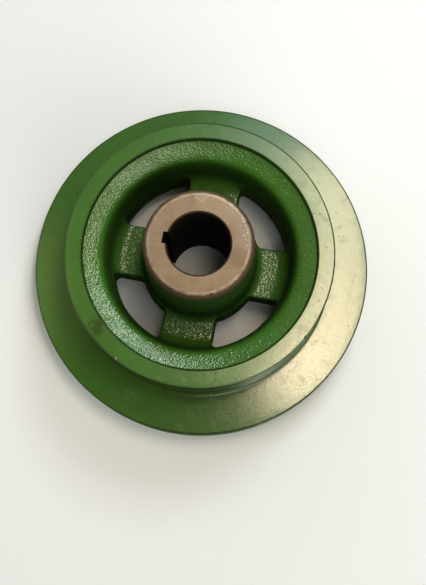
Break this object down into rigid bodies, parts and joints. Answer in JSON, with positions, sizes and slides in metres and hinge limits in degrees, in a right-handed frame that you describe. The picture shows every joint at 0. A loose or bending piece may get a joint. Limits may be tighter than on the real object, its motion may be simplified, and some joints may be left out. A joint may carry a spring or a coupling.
{
  "type": "belt pulley",
  "caption": "Stepped V-belt pulley: one green-painted iron casting with a spoked web, a raised hub and a keyed bore, to drive belts from a shaft.",
  "frame": {"origin": "on the bore's axis, in the plane of the rear faces of the rim and the hub", "axes": "+Z along the bore towards the raised front of the hub; the keyway is on the -X side"},
  "size_m": [0.24, 0.24, 0.097],
  "materials": {
    "green_paint": "gloss green enamel on a rough iron casting, with the hub's front end turned bare"
  },
  "bodies": {
    "root": {"pulley": "green_paint"}
  },
  "joints": []
}
